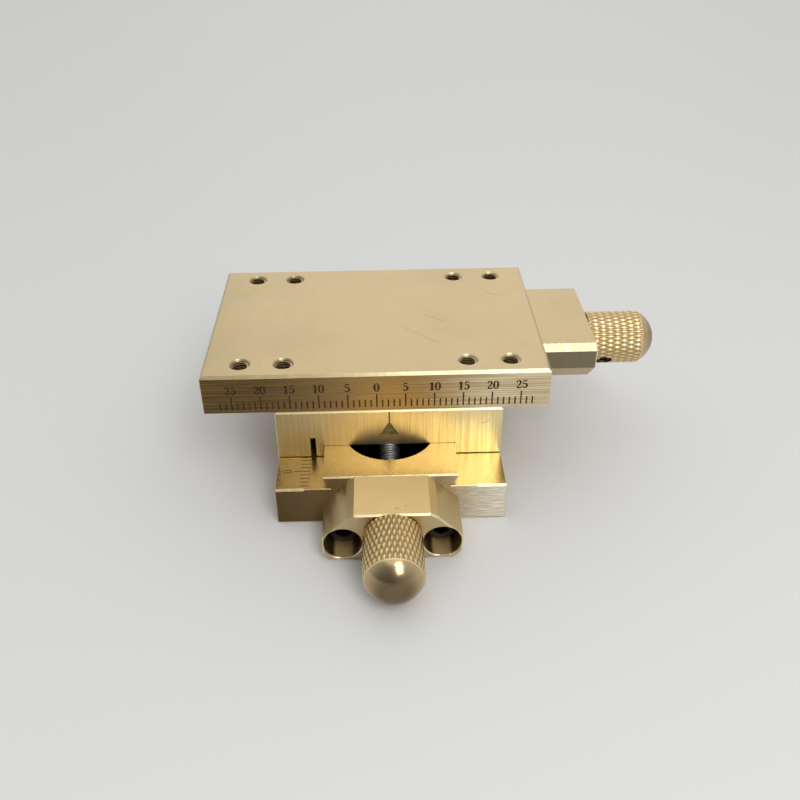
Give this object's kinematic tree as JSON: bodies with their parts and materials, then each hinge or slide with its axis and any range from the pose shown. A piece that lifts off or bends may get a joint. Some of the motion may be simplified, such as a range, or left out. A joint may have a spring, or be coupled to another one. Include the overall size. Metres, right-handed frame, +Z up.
{
  "type": "cross slide",
  "caption": "Small brass two-axis cross slide with dovetail ways, engraved scales, and a lead screw with a knurled knob on each axis.",
  "frame": {"origin": "middle of the base plate's underside", "axes": "+Z up, square to the base's underside; +X towards the X knob, along the table's travel; -Y towards the Y knob, so +Y runs back from the front edge"},
  "size_m": [0.0831, 0.0731, 0.025],
  "materials": {
    "plate_brass": "fine milled, satin",
    "carriage_brass": "milled, upright lines",
    "bracket_brass": "fine milled, satin",
    "knob_brass": "knurled, with a polished dome",
    "nut_bronze": "turned",
    "washer_bronze": "plain",
    "screw_steel": "rolled thread, lightly oiled",
    "fastener_steel": "black oxide"
  },
  "bodies": {
    "base": {"base_plate": "plate_brass", "y_end_bracket": "bracket_brass", "y_bracket_screws": "fastener_steel", "y_thrust_washers": "washer_bronze"},
    "y_screw": {"y_lead_screw": "screw_steel", "y_knob": "knob_brass", "y_knob_set_screw": "fastener_steel"},
    "carriage": {"carriage": "carriage_brass", "y_nut": "nut_bronze", "y_nut_screws": "fastener_steel", "x_nut": "nut_bronze", "x_nut_screws": "fastener_steel", "y_gib_screws": "fastener_steel", "x_gib_screws": "fastener_steel"},
    "table": {"top_table": "plate_brass", "x_end_bracket": "bracket_brass", "x_bracket_screws": "fastener_steel", "x_thrust_washers": "washer_bronze"},
    "x_screw": {"x_lead_screw": "screw_steel", "x_knob": "knob_brass", "x_knob_set_screw": "fastener_steel"}
  },
  "joints": [
    {"name": "y_knob_turn", "type": "hinge", "parent": "base", "child": "y_screw", "pos_m": [0, -0.034, 0.0056], "axis": [0, -1, 0], "range_deg": [-9515, 5401]},
    {"name": "y_slide", "type": "slide", "parent": "base", "child": "carriage", "axis": [0, 1, 0], "range_m": [-0.0185, 0.0105]},
    {"name": "x_slide", "type": "slide", "parent": "carriage", "child": "table", "axis": [1, 0, 0], "range_m": [-0.0174, 0.0216]},
    {"name": "x_knob_turn", "type": "hinge", "parent": "table", "child": "x_screw", "pos_m": [0.0371, 0.004, 0.0194], "axis": [1, 0, 0], "range_deg": [-8949, 11109]}
  ],
  "couplings": [
    {"joint": "y_knob_turn", "follows": "y_slide", "rad_per_m": 8976},
    {"joint": "x_knob_turn", "follows": "x_slide", "rad_per_m": 8976}
  ]
}
